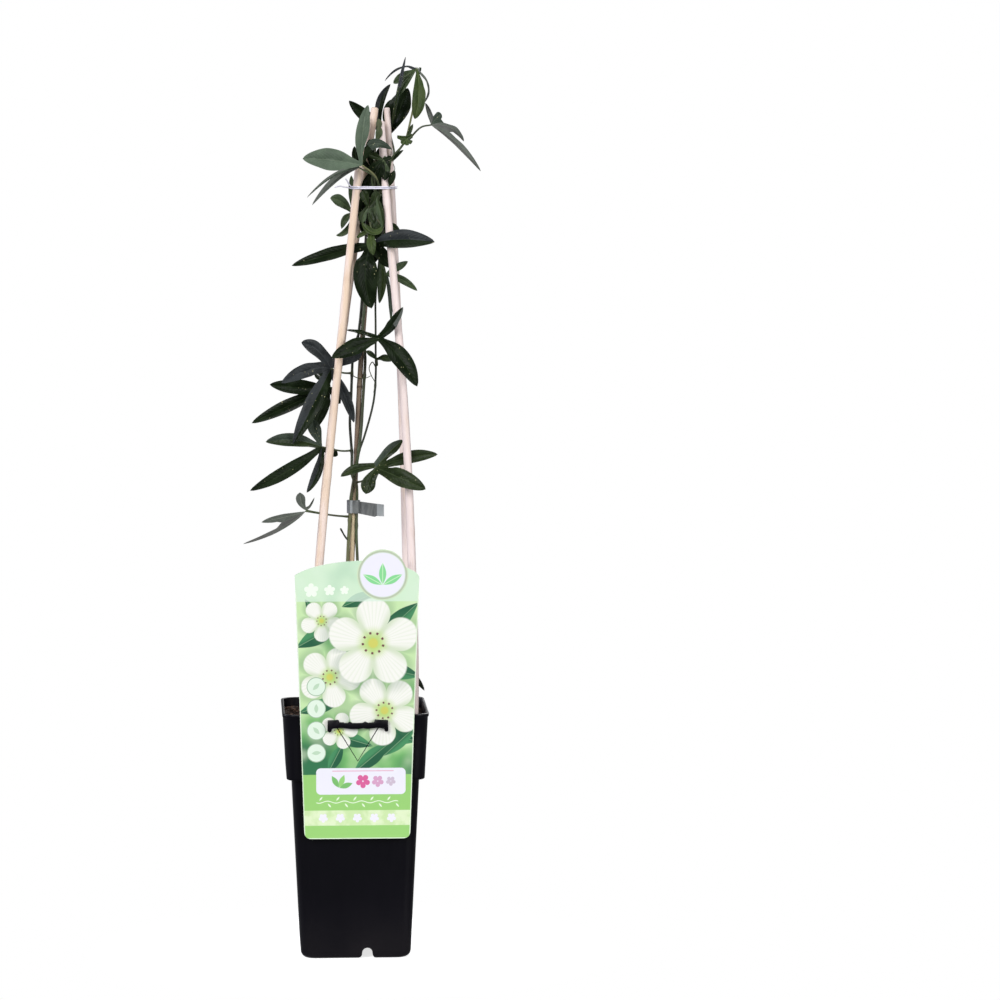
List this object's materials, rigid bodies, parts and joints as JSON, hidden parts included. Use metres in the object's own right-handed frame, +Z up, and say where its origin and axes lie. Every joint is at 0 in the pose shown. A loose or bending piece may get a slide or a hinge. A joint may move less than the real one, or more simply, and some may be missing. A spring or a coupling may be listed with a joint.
{
  "type": "potted passion flower vine",
  "caption": "Young passion flower vine on wooden sticks and a cane in a tall square black pot, with palmate leaves, tendrils, a sale card and ties.",
  "frame": {"origin": "centre of the pot's flat underside", "axes": "+Z up along the pot and the sticks, -Y towards the front with the sale card, +X to the right as seen from the front"},
  "size_m": [0.2112, 0.1394, 0.7951],
  "materials": {
    "pot_plastic": "satin",
    "compost": "matte",
    "stick_wood": "satin",
    "cane_bamboo": "satin",
    "stem_green": "satin",
    "leaf_green": "gloss",
    "tie_wire": "satin",
    "tie_tape": "satin",
    "label_card": "satin"
  },
  "bodies": {
    "root": {"pot": "pot_plastic", "soil": "compost", "stick_front_left": "stick_wood", "stick_front_right": "stick_wood", "stick_back_right": "stick_wood", "stick_back_left": "stick_wood", "cane": "cane_bamboo", "stem_main": "stem_green", "stem_second": "stem_green", "tie_wire": "tie_wire", "tie_tape": "tie_tape", "label_card": "label_card", "leaf_top_front": "leaf_green", "leaf_top_back": "leaf_green", "leaf_shoot_tip": "leaf_green", "leaf_shoot_arching": "leaf_green", "leaf_upper_cross": "leaf_green", "leaf_upper_small_right": "leaf_green", "leaf_upper_small_left": "leaf_green", "leaf_middle_right": "leaf_green", "leaf_middle_left": "leaf_green", "leaf_middle_back": "leaf_green", "leaf_lower_left": "leaf_green", "leaf_lowest_left": "leaf_green", "leaf_lower_right": "leaf_green", "leaf_bundle_dark": "leaf_green", "leaf_bundle_bright": "leaf_green", "leaf_bundle_back": "leaf_green", "leaf_side_small": "leaf_green", "leaf_base_right": "leaf_green"}
  },
  "joints": []
}
